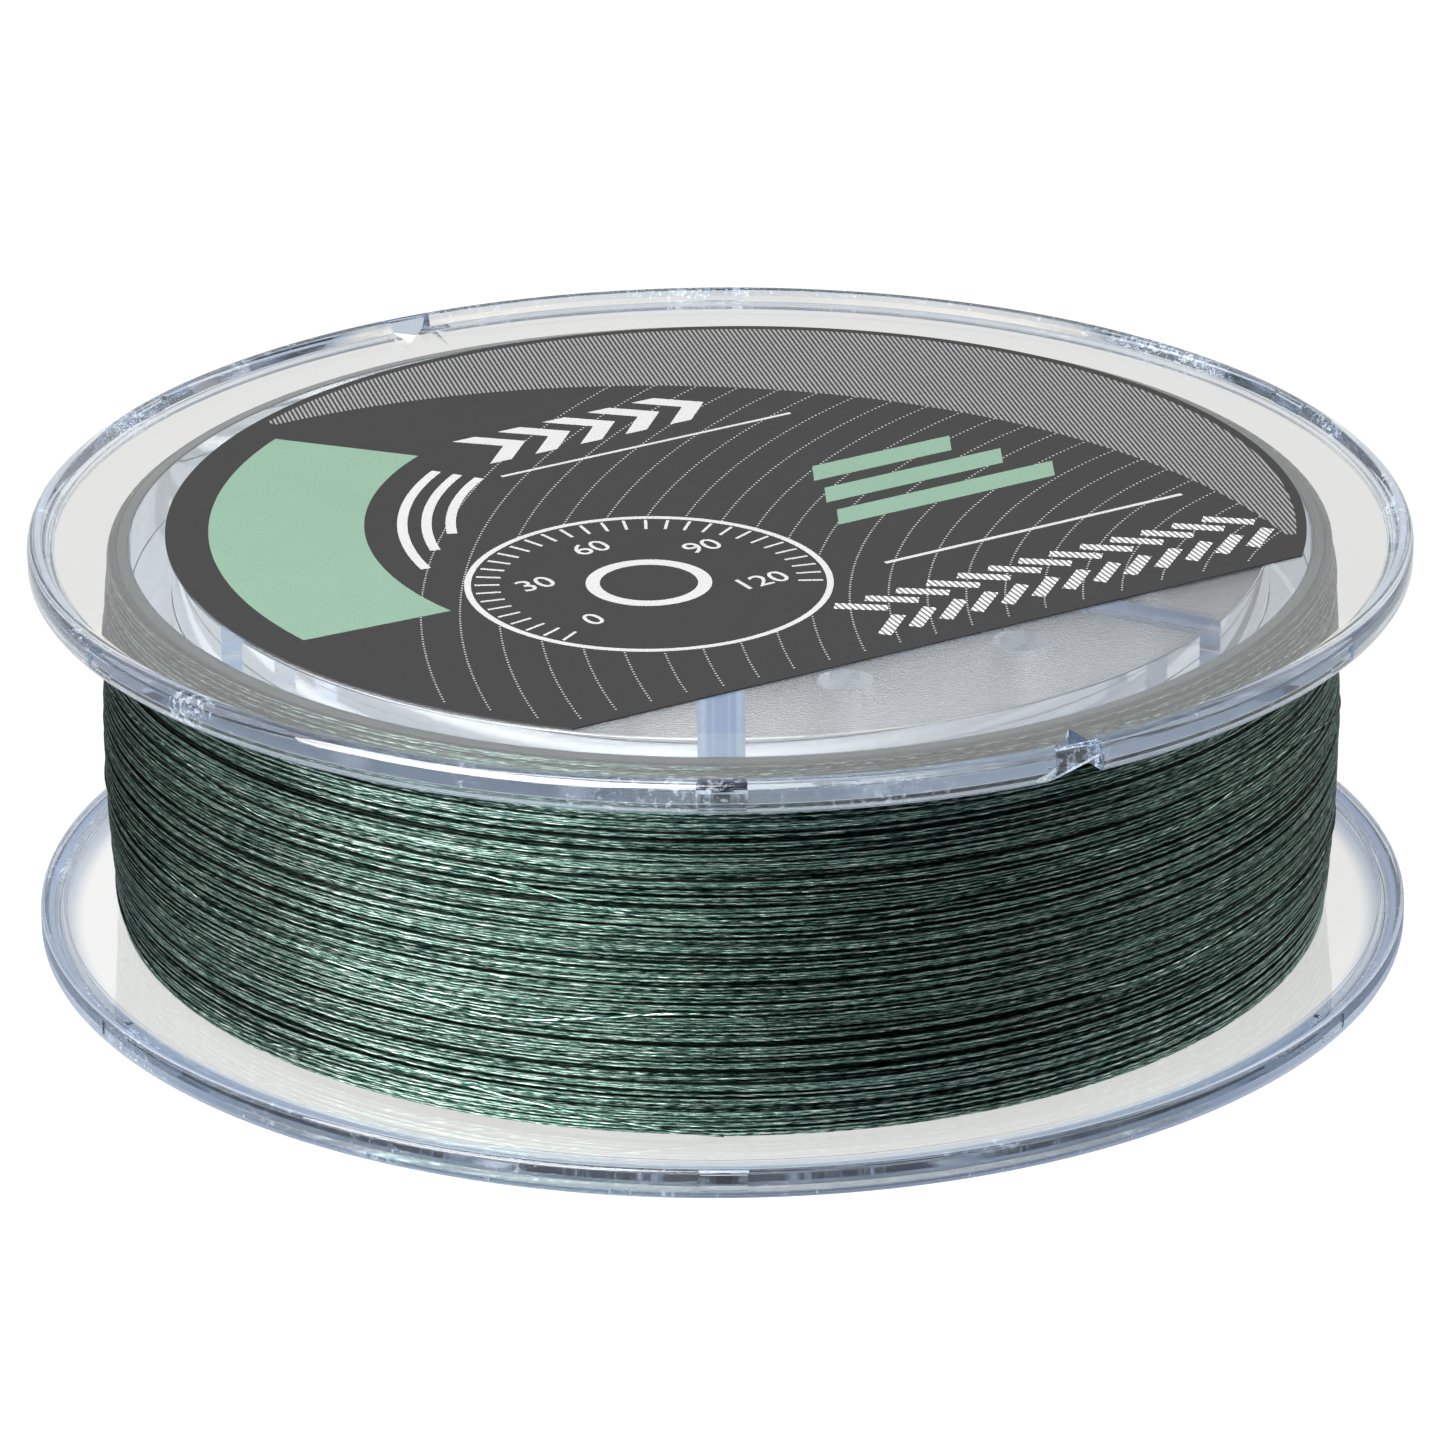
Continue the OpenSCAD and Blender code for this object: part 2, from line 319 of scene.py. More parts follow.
CREST_R = FLANGE_R - RIM_EDGE_R - RIM_CREST_W
TOP_Z = MID_Z - JOINT_GAP / 2
HALF_SECTION = rounded([
    (SPINDLE_R, PLATE_RECESS, 0.15), (RIM_IN_R, PLATE_RECESS, 0.2), (CREST_R, 0, 0.12),
    (FLANGE_R, 0, RIM_EDGE_R), (FLANGE_R, RIM_H, RIM_FOOT_R), (RIM_IN_R, RIM_H, 0.12),
    (RIM_IN_R, PLATE_IN_Z, 0.1), (DRUM_R, PLATE_IN_Z, 0.15), (DRUM_R, TOP_Z, 0.05),
    (DRUM_R - DRUM_WALL, TOP_Z, 0.05), (DRUM_R - DRUM_WALL, PLATE_IN_Z, 0.2),
    (HUB_R, PLATE_IN_Z, 0.2), (HUB_R, TOP_Z, 0.05), (SPINDLE_R, TOP_Z, 0.05),
])
print("points in a half's section:", len(HALF_SECTION))


# %% Solids for the booleans
def solid(points, faces):
    """A mesh from millimetre points, with its faces turned outwards."""
    shape = bmesh.new()
    corners = [shape.verts.new(Vector(p) * MM) for p in points]
    for face in faces:
        shape.faces.new([corners[i] for i in face])
    bmesh.ops.recalc_face_normals(shape, faces=shape.faces)
    mesh = bpy.data.meshes.new("solid")
    shape.to_mesh(mesh)
    shape.free()
    return mesh


def spun(outline, around=360):
    """The closed outline turned about the spindle axis."""
    n = len(outline)
    points = [polar(p.x, 360 * k / around, p.y) for k in range(around) for p in outline]
    faces = [(k * n + i, k * n + (i + 1) % n,
              (k + 1) % around * n + (i + 1) % n, (k + 1) % around * n + i)
             for k in range(around) for i in range(n)]
    return solid(points, faces)


def prism(outline, low, high):
    """An upright prism on a plan outline of (x, y) points."""
    n = len(outline)
    points = [(p[0], p[1], z) for z in (low, high) for p in outline]
    sides = [(i, (i + 1) % n, n + (i + 1) % n, n + i) for i in range(n)]
    return points, [tuple(range(n)), tuple(range(n, 2 * n))] + sides


def together(parts):
    """Several (points, faces) pairs as one mesh."""
    points, faces = [], []
    for some, over in parts:
        faces += [tuple(i + len(points) for i in face) for face in over]
        points += list(some)
    return solid(points, faces)


def round_outline(centre, radius, sides=32):
    """A circle's plan points."""
    return [(centre.x + radius * math.cos(math.tau * k / sides),
             centre.y + radius * math.sin(math.tau * k / sides)) for k in range(sides)]


def bar_outline(degrees, near, far, width):
    """A straight bar along a radius, as four plan points."""
    side = polar(width / 2, degrees + 90)
    return [polar(near, degrees) - side, polar(far, degrees) - side,
            polar(far, degrees) + side, polar(near, degrees) + side]


# %% Ribs, bosses, pegs, sockets and marks
CUT = 1.0  # how far a cutter reaches past what it cuts
RIB_BELOW = 0.02  # ribs and bosses end this far below the joint
PEG_ROOT = 2.0  # a peg starts this far up inside its boss
PEG_SIDES = 24

rib_angles = [i * RIB_STEP for i in range(RIBS)]
low_z = PLATE_RECESS + PLATE_T / 2
rib_top = TOP_Z - RIB_BELOW
rib_from, rib_to = (SPINDLE_R + HUB_R) / 2, DRUM_R - DRUM_WALL / 2
ribs = together([prism(bar_outline(a, rib_from, rib_to, RIB_W), low_z, rib_top)
                 for a in rib_angles])
bosses = together(
    [prism(round_outline(polar(PEG_CIRCLE_R, a + side * PEG_FROM_RIB), BOSS_R), low_z, rib_top)
     for a in rib_angles for side in (-1, 1)])
pegs = together(
    [prism(round_outline(polar(PEG_CIRCLE_R, a - PEG_FROM_RIB), PEG_R, PEG_SIDES),
           low_z + PEG_ROOT, MID_Z + PEG_L) for a in rib_angles])
sockets = together(
    [prism(round_outline(polar(PEG_CIRCLE_R, a + PEG_FROM_RIB), PEG_R + PEG_CLEAR, PEG_SIDES),
           MID_Z - PEG_L - SOCKET_EXTRA, MID_Z + CUT) for a in rib_angles])
marks = together([prism(bar_outline(a, FLANGE_R - MARK_DEPTH, FLANGE_R + CUT, RIB_W),
                        RIM_EDGE_R, RIM_H - RIM_FOOT_R) for a in rib_angles])

# %% The line slots
SLOTS, SLOT_SIDE_A = 2, 1.2
SLOT_RAMP_L, SLOT_RAMP_H, SLOT_POCKET_L, SLOT_POCKET_W, SLOT_LIP_T = 3.8, 1.1, 3.1, 2.9, 0.4
slot_angles = [RIB_STEP / 2 - SLOT_SIDE_A + i * 360 / SLOTS for i in range(SLOTS)]
LIP_R = FLANGE_R - SLOT_LIP_T
POCKET_A = math.degrees(SLOT_POCKET_W / LIP_R)
POCKET_STEPS = 6


def pocket(degrees):
    """The three-cornered way from the ramp out through the plate and the rim."""
    outline = [polar(LIP_R - SLOT_POCKET_L, degrees)]
    outline += [polar(LIP_R, degrees + POCKET_A * k / POCKET_STEPS)
                for k in range(POCKET_STEPS + 1)]
    return prism([(p.x, p.y) for p in outline], -CUT, RIM_H + CUT)


def ramp(degrees):
    """The lead-in up the rim's inner side, as a bar whose section is the ramp."""
    across, points = polar(1, degrees + 90), []
    section = ((0, -SLOT_RAMP_H), (0, CUT), (SLOT_RAMP_L, CUT), (SLOT_RAMP_L, 0))
    for radius in (RIM_IN_R - SLOT_LIP_T, FLANGE_R + CUT):
        for along, z in section:
            points.append(polar(radius, degrees, RIM_H + z) + across * along)
    return points, [(0, 1, 2, 3), (4, 5, 6, 7), (0, 1, 5, 4), (1, 2, 6, 5),
                    (2, 3, 7, 6), (3, 0, 4, 7)]


pockets = together([pocket(a) for a in slot_angles])
ramps = together([ramp(a) for a in slot_angles])
print("slots at", [round(a, 1) for a in slot_angles], "degrees on the half before it is turned")


# %% Join and cut
SHARP_OVER = 32  # degrees between two faces that stay a sharp edge


def with_boolean(piece, mesh, operation):
    """Joins a mesh to a piece, or cuts it out."""
    tool = new_object("tool", mesh)
    change = piece.modifiers.new("boolean", "BOOLEAN")
    change.operation, change.object, change.solver = operation, tool, "MANIFOLD"
    result = mesh_now(piece)
    piece.modifiers.clear()
    piece.data = result
    bpy.data.objects.remove(tool)


def flatten_normals(piece):
    """Smooth rounds beside flat faces that stay flat: normals weighted by face area."""
    piece.data.polygons.foreach_set("use_smooth", [True] * len(piece.data.polygons))
    piece.data.set_sharp_from_angle(angle=math.radians(SHARP_OVER))
    weighted = piece.modifiers.new("weighted", "WEIGHTED_NORMAL")
    weighted.keep_sharp = True
    weighted.weight = 100
    result = mesh_now(piece)
    piece.modifiers.clear()
    piece.data = result


def make_half(name, slots):
    """One half, outer side down."""
    piece = new_piece(name, spun(HALF_SECTION))
    for mesh in (ribs, bosses, pegs):
        with_boolean(piece, mesh, "UNION")
    for mesh in (sockets, marks) + ((pockets, ramps) if slots else ()):
        with_boolean(piece, mesh, "DIFFERENCE")
    return piece


lower = make_half("spool_lower_half", False)
upper = make_half("spool_upper_half", True)
# turned over about a line between two ribs, so that pegs meet sockets
upper.data.transform(Matrix.Translation((0, 0, SPOOL_H * MM)) @ Matrix.Rotation(
    math.pi, 4, polar(1, RIB_STEP / 2)))
for half, stands_for in ((lower, "lower_half"), (upper, "upper_half")):
    flatten_normals(half)
    half.data.materials.clear()
    half.data.materials.append(PLASTIC)
    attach(half, "root")
    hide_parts(stands_for)

# %% [markdown]
# ## Braid
# The line is a round plait of four bundles, and each bundle is hundreds of waxed fibres. Two
# sets of slanting waves, one for each way round, give the plait, and they need to know how
# far along and how far round the line a point is. The winding stores both in an attribute
# named lay, because coordinates in space can't say it.


# %% Braid material
PICK = 1.15 * MM  # from one crossing of the bundles to the next on the same side
BRAID_TONES_WITH_PAINTED_SHADE_AND_GLINT = (  # painted shade in the gaps between fibres, dyed fibres, and waxed ones with a painted glint where they catch the light
    (0.42, (0.001, 0.011, 0.009)), (0.56, (0.155, 0.295, 0.238)), (0.72, (0.93, 1.0, 0.90)))
BRAID_RELIEF = 0.00004  # metres


def braid(name, shade):
    """shade is painted shade: it scales the colour, so that deeper layers are painted darker and
    the stray turns on top painted lighter.
    """
    material, tree = new_material(name)
    calc = partial(sum_up, tree)
    lay = node(tree, "ShaderNodeAttribute", attribute_name="lay").outputs["Vector"]
    split = node(tree, "ShaderNodeSeparateXYZ", {0: lay})
    along, around = split.outputs["X"], split.outputs["Y"]

    def scaled(a, scale, offset=0.0):
        return calc("MULTIPLY_ADD", a, scale, offset)

    def place(x, y=0.0, z=0.0):
        return node(tree, "ShaderNodeCombineXYZ", {"X": x, "Y": y, "Z": z}).outputs[0]

    # 0 along the line's middle and 1 along both its edges, so the two ways round mirror
    edge = calc("ABSOLUTE", scaled(around, 2.0, -1.0))
    drag = noise(tree, place(scaled(along, 500.0)), 1.0, 1.0)
    slant = calc("MULTIPLY_ADD", drag, 1.1, calc("MULTIPLY_ADD", edge, 0.9,
                                                 scaled(along, 1 / PICK)))
    bundle = scaled(calc("COSINE", scaled(slant, math.tau)), 0.5, 0.5)

    def streaks(lengthways, across, lean):
        """Noise drawn out along the line, leaning the way the bundles lie."""
        drawn = place(calc("MULTIPLY_ADD", edge, lean, scaled(along, lengthways)),
                      scaled(around, across), scaled(slant, 0.6))
        return noise(tree, drawn, 1.0, 3.0, 0.65)

    strokes = streaks(700.0, 5.0, 0.7)
    fibres = streaks(2400.0, 14.0, 1.6)
    dye = noise(tree, place(scaled(along, 70.0)), 1.0, 2.0)
    # a turn's upper and lower sides lie in the shade of its neighbours
    facing = node(tree, "ShaderNodeSeparateXYZ", {
        0: node(tree, "ShaderNodeTexCoord").outputs["Normal"]}).outputs["Z"]
    proud = calc("SUBTRACT", 1.0, calc("POWER", calc("ABSOLUTE", facing), 1.6))

    # painted shade and glints: the streak noise picks near-black gaps and bright fibres off the
    # ramp
    tone = calc("MULTIPLY_ADD", strokes, 0.9,
                calc("MULTIPLY_ADD", fibres, 0.7, scaled(bundle, 0.10, -0.35)))
    stops = [(at, [c * shade for c in colour]) for at, colour in BRAID_TONES_WITH_PAINTED_SHADE_AND_GLINT]
    hue = node(tree, "ShaderNodeHueSaturation", {
        "Color": ramped(tree, tone, stops),
        "Value": calc("MULTIPLY", scaled(dye, 2.2, 0.25), proud)})
    height = calc("MULTIPLY_ADD", strokes, 0.8, scaled(bundle, 0.5))
    # fibres lie along the line, so highlights stretch across it
    spot = node(tree, "ShaderNodeTexCoord").outputs["Object"]
    run = vectors(tree, "CROSS_PRODUCT", spot, (0, 0, 1))[0]
    skin = node(tree, "ShaderNodeBsdfPrincipled", {
        "Base Color": hue.outputs[0], "Roughness": scaled(fibres, 0.34, 0.24),
        "Normal": bumped(tree, height, BRAID_RELIEF), "Metallic": 1.0,
        "Anisotropic": 0.8, "Anisotropic Rotation": 0.25, "Tangent": run})
    node(tree, "ShaderNodeOutputMaterial", {"Surface": skin.outputs[0]})
    return material


# %% [markdown]
# ## The winding
# A spooling machine lays the line in one long helix, there and back, and no turn lies quite
# straight: some bunch, some cross. The rule is simple and the copies are many, so a
# Geometry Nodes tree makes each layer: a line of points, moved onto a helix that wanders a
# little, and a small flattened round swept along it.

# %% Sizes of the winding
WIND_DEPTH, WIND_BULGE, WIND_CLEAR = 1.3, 0.6, 0.05
WIND_LOW, WIND_HIGH = PLATE_IN_Z + WIND_CLEAR, SPOOL_H - PLATE_IN_Z - WIND_CLEAR
LINE_W, LINE_T = 0.165, 0.16
LINE_SLACK = 0.09  # room under the outside for turns that ride up
FLANGE_GAP = 0.02  # between the last turn of a layer and the winding's end
CORE_DEPTH = 0.62  # of the plain inner ring under the outside
POINTS_PER_TURN = 150
PROFILE_SIDES = 6


# %% The winding tree
def add_sockets(tree, kinds):
    """Gives a Geometry Nodes group its output and these inputs; returns the inputs."""
    face = tree.interface
    face.new_socket("Geometry", in_out="OUTPUT", socket_type="NodeSocketGeometry")
    for kind, names in kinds:
        for name in names:
            face.new_socket(name, in_out="INPUT", socket_type="NodeSocket" + kind)
    return tree.nodes.new("NodeGroupInput").outputs


def captured(tree, geometry, name, value):
    """Keeps a number on every point; returns the geometry and the kept number."""
    keep = node(tree, "GeometryNodeCaptureAttribute", {"Geometry": geometry}, domain="POINT")
    keep.capture_items.new("FLOAT", name)
    tree.links.new(value, keep.inputs[1])
    return keep.outputs[0], keep.outputs[1]


def winding_tree():
    """A Geometry Nodes group that lays one layer of turns."""
    tree = bpy.data.node_groups.new("lay_line", "GeometryNodeTree")
    calc = partial(sum_up, tree)
    given = add_sockets(tree, (
        ("Int", ("Turns", "Points per turn")),
        ("Float", ("Seed", "Low", "High", "Edge radius", "Bulge", "Wander", "Lift",
                   "Way round", "Width", "Thickness", "Haste")),
        ("Material", ("Material",))))

    count = calc("MULTIPLY", given["Turns"], given["Points per turn"])
    line = node(tree, "GeometryNodeMeshLine", {"Count": calc("ADD", count, 1.0)})
    index = node(tree, "GeometryNodeInputIndex").outputs[0]
    share = calc("DIVIDE", index, count)
    turn = calc("DIVIDE", index, given["Points per turn"])
    angle = calc("MULTIPLY", calc("MULTIPLY", turn, math.tau), given["Way round"])

    def waver(speed, offset):
        """Smooth noise along the line, about -1 to 1."""
        where = calc("ADD", calc("MULTIPLY", turn, speed),
                     calc("MULTIPLY_ADD", given["Seed"], 17.3, offset))
        return calc("MULTIPLY_ADD", noise_along(tree, where, 1.5), 4.0, -2.0)

    room = calc("SUBTRACT", given["High"], given["Low"])
    even = calc("MULTIPLY_ADD", share, room, given["Low"])
    drift = calc("MULTIPLY", waver(given["Haste"], 0.0), given["Wander"])
    height = calc("MINIMUM", calc("MAXIMUM", calc("ADD", even, drift), given["Low"]),
                  given["High"])
    middle = calc("MULTIPLY", calc("ADD", given["Low"], given["High"]), 0.5)
    from_mid = calc("DIVIDE", calc("SUBTRACT", height, middle), calc("MULTIPLY", room, 0.5))
    crown = calc("MULTIPLY", calc("SUBTRACT", 1.0, calc("MULTIPLY", from_mid, from_mid)),
                 given["Bulge"])
    radius = calc("ADD", calc("ADD", given["Edge radius"], crown),
                  calc("MULTIPLY", waver(2.9, 71.0), given["Lift"]))
    spot = node(tree, "ShaderNodeCombineXYZ", {
        "X": calc("MULTIPLY", radius, calc("SINE", angle)),
        "Y": calc("MULTIPLY", radius, calc("MULTIPLY", calc("COSINE", angle), -1.0)),
        "Z": height}).outputs[0]
    laid = node(tree, "GeometryNodeSetPosition", {"Geometry": line.outputs[0],
                                                  "Position": spot})
    curve = node(tree, "GeometryNodeMeshToCurve", {"Mesh": laid.outputs[0]})
    level = node(tree, "GeometryNodeSetCurveNormal", {"Curve": curve.outputs[0]})
    level.mode = "Z_UP"
    turns, along = captured(tree, level.outputs[0], "Along",
                            node(tree, "GeometryNodeSplineParameter").outputs["Length"])
    profile = node(tree, "GeometryNodeCurvePrimitiveCircle",
                   {"Resolution": PROFILE_SIDES, "Radius": 0.5})
    section, around = captured(tree, profile.outputs[0], "Around",
                               node(tree, "GeometryNodeSplineParameter").outputs["Factor"])
    size = node(tree, "ShaderNodeCombineXYZ", {"X": given["Thickness"], "Y": given["Width"],
                                               "Z": 1.0})
    flat = node(tree, "GeometryNodeTransform", {"Geometry": section, "Scale": size.outputs[0]})
    tube = node(tree, "GeometryNodeCurveToMesh", {
        "Curve": turns, "Profile Curve": flat.outputs[0], "Fill Caps": True})
    both = node(tree, "ShaderNodeCombineXYZ", {"X": along, "Y": around})
    told = node(tree, "GeometryNodeStoreNamedAttribute",
                {"Geometry": tube.outputs[0], "Name": "lay", "Value": both.outputs[0]},
                data_type="FLOAT_VECTOR", domain="POINT")
    smooth = node(tree, "GeometryNodeSetShadeSmooth", {0: told.outputs[0]})
    real = node(tree, "GeometryNodeRealizeInstances", {0: smooth.outputs[0]})
    dyed = node(tree, "GeometryNodeSetMaterial",
                {"Geometry": real.outputs[0], "Material": given["Material"]})
    node(tree, "NodeGroupOutput", {0: dyed.outputs[0]})
    return tree


LAY_LINE = winding_tree()


# %% Run a tree on a new piece
def grown(name, tree, **inputs):
    """A plain mesh piece from a Geometry Nodes tree with these inputs."""
    piece = new_object(name, bpy.data.meshes.new(name))
    grow = piece.modifiers.new("grow", "NODES")
    grow.node_group = tree
    names = {item.name: item.identifier for item in tree.interface.items_tree
             if item.in_out == "INPUT"}
    for key, value in inputs.items():
        grow[names[key.replace("_", " ")]] = value
    mesh = mesh_now(piece)
    piece.modifiers.clear()
    piece.data = mesh
    mesh.name = name
    return piece


def triangles(piece):
    """How many triangles a piece has."""
    return sum(len(p.vertices) - 2 for p in piece.data.polygons)


# %% Lay the layers
LAYERS = (  # name, turns, depth under the outside, wander, haste, lift, way, seed, painted shade
    ("braid_stray_turns", 3, -0.11, 1.50, 6.10, 0.010, -1.0, 4.0, 1.40),
    ("braid_top_layer", 104, 0.00, 0.38, 1.37, 0.050, 1.0, 1.0, 1.25),
    ("braid_second_layer", 100, 0.13, 0.34, 1.37, 0.035, -1.0, 2.0, 0.45),
    ("braid_third_layer", 96, 0.26, 0.16, 1.37, 0.030, 1.0, 3.0, 0.15),
)
# the last column is painted shade: lower layers are painted darker, the stray turns painted
# lighter
for name, turns, depth, wander, haste, lift, way, seed, shade in LAYERS:
    layer = grown(
        name, LAY_LINE, Turns=turns, Points_per_turn=POINTS_PER_TURN, Seed=seed,
        Low=(WIND_LOW + LINE_W / 2 + FLANGE_GAP) * MM,
        High=(WIND_HIGH - LINE_W / 2 - FLANGE_GAP) * MM,
        Edge_radius=(DRUM_R + WIND_DEPTH - LINE_T / 2 - LINE_SLACK - depth) * MM,
        Bulge=WIND_BULGE * MM, Wander=wander * MM, Haste=haste, Lift=lift * MM, Way_round=way,
        Width=LINE_W * MM, Thickness=LINE_T * MM, Material=braid(name + "_dye", shade))
    print(name, "triangles:", triangles(layer))
    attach(layer, "root")
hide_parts("line_outer_turns")

# %% The layers under them
CORE_STEPS = 24
core_r = DRUM_R + WIND_DEPTH - CORE_DEPTH
section = [Vector((DRUM_R + WIND_CLEAR, WIND_HIGH)), Vector((DRUM_R + WIND_CLEAR, WIND_LOW))]
for k in range(CORE_STEPS + 1):
    u = 2 * k / CORE_STEPS - 1
    section.append(Vector((core_r + WIND_BULGE * (1 - u * u),
                           WIND_LOW + (WIND_HIGH - WIND_LOW) * k / CORE_STEPS)))
# painted shade: the inner layers are the same braid, painted near-black for the shade under and
# between the outer turns
core_painted_shade, tree = new_material("braid_core_dye")
spot = node(tree, "ShaderNodeTexCoord").outputs["Object"]
rings = node(tree, "ShaderNodeMapping", {"Vector": spot, "Scale": (40, 40, 4000)}).outputs[0]
dark = ramped(tree, noise(tree, rings, 1.0, 3.0),
              ((0.0, (0.001, 0.003, 0.003)), (1.0, (0.010, 0.022, 0.018))))
skin = node(tree, "ShaderNodeBsdfPrincipled", {"Base Color": dark, "Roughness": 0.6})
node(tree, "ShaderNodeOutputMaterial", {"Surface": skin.outputs[0]})
core = new_piece("braid_inner_layers", spun(section, around=240), core_painted_shade)
flatten_normals(core)
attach(core, "root")
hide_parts("line_inner_layers")

# %% [markdown]
# ## Label
# The label is a thin film with a straight edge, laid in the recess of the upper flange. Its
# print is a dark ground with light inks on it. Here each ink is its own thin solid, a few
# hundredths of a millimetre high, because that keeps edges sharp at any distance and lets a
# maker print, cut or engrave the same outlines. The design is a plain one made for this part.

# %% Label sizes and inks
LABEL_R, LABEL_CUT, LABEL_TURN = 33.0, 22.35, 31.5
LABEL_AT = Vector((0.9, 0.7))
FILM_T, FILM_GAP = 0.1, 0.005  # the gap is what glue would fill
FILM_LOW = SPOOL_H - PLATE_RECESS + FILM_GAP
FILM_TOP = FILM_LOW + FILM_T
INK_T, DOT_T, INK_SINK = 0.012, 0.006, 0.02
EDGE_MARGIN = 0.6  # unprinted strip along the film's edge
PRINT_R, PRINT_CUT = LABEL_R - EDGE_MARGIN, LABEL_CUT - EDGE_MARGIN
U_AXIS = Vector((math.cos(math.radians(LABEL_TURN)), math.sin(math.radians(LABEL_TURN))))
V_AXIS = Vector((-U_AXIS.y, U_AXIS.x))
DENT_DEPTH, GRAIN_RELIEF = 0.0002, 0.000004  # metres


def film(name, colour, roughness, stripes=None):
    """A print colour on the dented film; stripes are (pitch in mm, degrees, second colour)."""
    material, tree = new_material(name)
    spot = node(tree, "ShaderNodeTexCoord").outputs["Object"]
    grain = noise(tree, spot, 6000.0, 2.0)
    dents = bumped(tree, noise(tree, spot, 120.0, 2.0), DENT_DEPTH)
    shade = node(tree, "ShaderNodeMapRange", {"Value": grain, "To Min": 0.85, "To Max": 1.15})
    tint = (*colour, 1.0)
    if stripes:
        pitch, degrees, second = stripes
        a = math.radians(degrees)
        way = (math.cos(a) / MM / pitch, math.sin(a) / MM / pitch, 0.0)
        across = vectors(tree, "DOT_PRODUCT", spot, way)["Value"]
        wave = sum_up(tree, "COSINE", sum_up(tree, "MULTIPLY", across, math.tau))
        crisp = sum_up(tree, "MULTIPLY_ADD", wave, 1.6, 0.5, clamp=True)
        tint = blended(tree, crisp, colour, second)
    tone = node(tree, "ShaderNodeHueSaturation", {"Color": tint,
                                                  "Value": shade.outputs["Result"]})
    skin = node(tree, "ShaderNodeBsdfPrincipled", {
        "Base Color": tone.outputs[0], "Roughness": roughness,
        "Normal": bumped(tree, grain, GRAIN_RELIEF, dents)})
    node(tree, "ShaderNodeOutputMaterial", {"Surface": skin.outputs[0]})
    return material


DARK = (0.0235, 0.0235, 0.0240)
GROUND_ROUGH, INK_ROUGH = 0.42, 0.40
GROUND = film("label_ground", DARK, GROUND_ROUGH)
MINT = film("label_mint", (0.160, 0.255, 0.192), INK_ROUGH)
WHITE = film("label_white", (0.42, 0.42, 0.42), INK_ROUGH)
HATCHED = film("label_hatched", DARK, GROUND_ROUGH, (0.28, 14.0, (0.22, 0.22, 0.22)))
DOTTED = film("label_dotted", (0.34, 0.34, 0.34), INK_ROUGH)
WOVEN = film("label_woven", (0.62, 0.62, 0.62), INK_ROUGH, (0.33, 25.0, (0.13, 0.13, 0.13)))


# %% The film
def on_film(u, v):
    """The plan point u along the straight edge and v away from it, from the label's centre."""
    return LABEL_AT + U_AXIS * u + V_AXIS * v


def arc(radius, start, end, steps, u=0.0, v=0.0):
    """Plan points on an arc about (u, v), in degrees from the u axis."""
    turns = [math.radians(start + (end - start) * k / steps) for k in range(steps + 1)]
    return [on_film(u + radius * math.cos(a), v + radius * math.sin(a)) for a in turns]


FILM_STEPS = 256
open_half = math.degrees(math.acos(LABEL_CUT / LABEL_R))
film_plan = arc(LABEL_R, open_half - 90, 270 - open_half, FILM_STEPS)
label = new_piece("label_film", together([prism(film_plan, FILM_LOW, FILM_TOP)]), GROUND)
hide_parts("label")


# %% Inks
def ribbon(left, right, high, closed=False):
    """A thin ink between two rows of plan points."""
    n = len(left)
    points = [(p.x, p.y, z) for z in (FILM_TOP - INK_SINK, FILM_TOP + high)
              for p in list(left) + list(right)]
    faces = []
    for i in range(n if closed else n - 1):
        j = (i + 1) % n
        faces += [(i, j, n + j, n + i), (2 * n + i, 2 * n + j, 3 * n + j, 3 * n + i),
                  (i, j, 2 * n + j, 2 * n + i), (n + i, n + j, 3 * n + j, 3 * n + i)]
    if not closed:
        faces += [(0, n, 3 * n, 2 * n), (n - 1, 2 * n - 1, 4 * n - 1, 3 * n - 1)]
    return points, faces


def stroke(u0, v0, u1, v1, width, lean=0.0):
    """A straight ink bar from one point to the other; lean shifts one side to slant its ends."""
    a, b = Vector((u0, v0)), Vector((u1, v1))
    run = (b - a).normalized()
    side = Vector((-run.y, run.x)) * width / 2
    slip = run * lean
    return ribbon([on_film(*(a + side + slip)), on_film(*(b + side + slip))],
                  [on_film(*(a - side)), on_film(*(b - side))], INK_T)


def ring(u, v, radius, width, sides=96):
    """An ink ring about (u, v)."""
    outer = arc(radius, 0, 360, sides, u, v)[:-1]
    inner = arc(radius - width, 0, 360, sides, u, v)[:-1]
    return ribbon(outer, inner, INK_T, closed=True)


def band(outer_r, inner_r, start, end, steps):
    """An ink band between two arcs about the label's centre; start is (outer, inner)."""
    return ribbon(arc(outer_r, start[0], end[0], steps), arc(inner_r, start[1], end[1], steps),
                  INK_T)


def chevron(u, v, width, reach):
    """An arrow head along the u axis."""
    bend = ((0, -reach), (reach, 0), (0, reach))
    return ribbon([on_film(u + width + a, v + b) for a, b in bend],
                  [on_film(u + a, v + b) for a, b in bend], INK_T)


def lune(centre, radius, start, end, steps):
    """An ink crescent between the print's edge and a circle that is off the label's centre."""
    outer, inner = [], []
    for k in range(steps + 1):
        way = math.radians(start + (end - start) * k / steps)
        run = Vector((math.cos(way), math.sin(way)))
        near = run.dot(centre)
        reach = near + math.sqrt(near * near - centre.length_squared + radius * radius)
        outer.append(on_film(*(run * PRINT_R)))
        inner.append(on_film(*(run * min(reach, PRINT_R - 0.1))))
    return ribbon(outer, inner, INK_T)


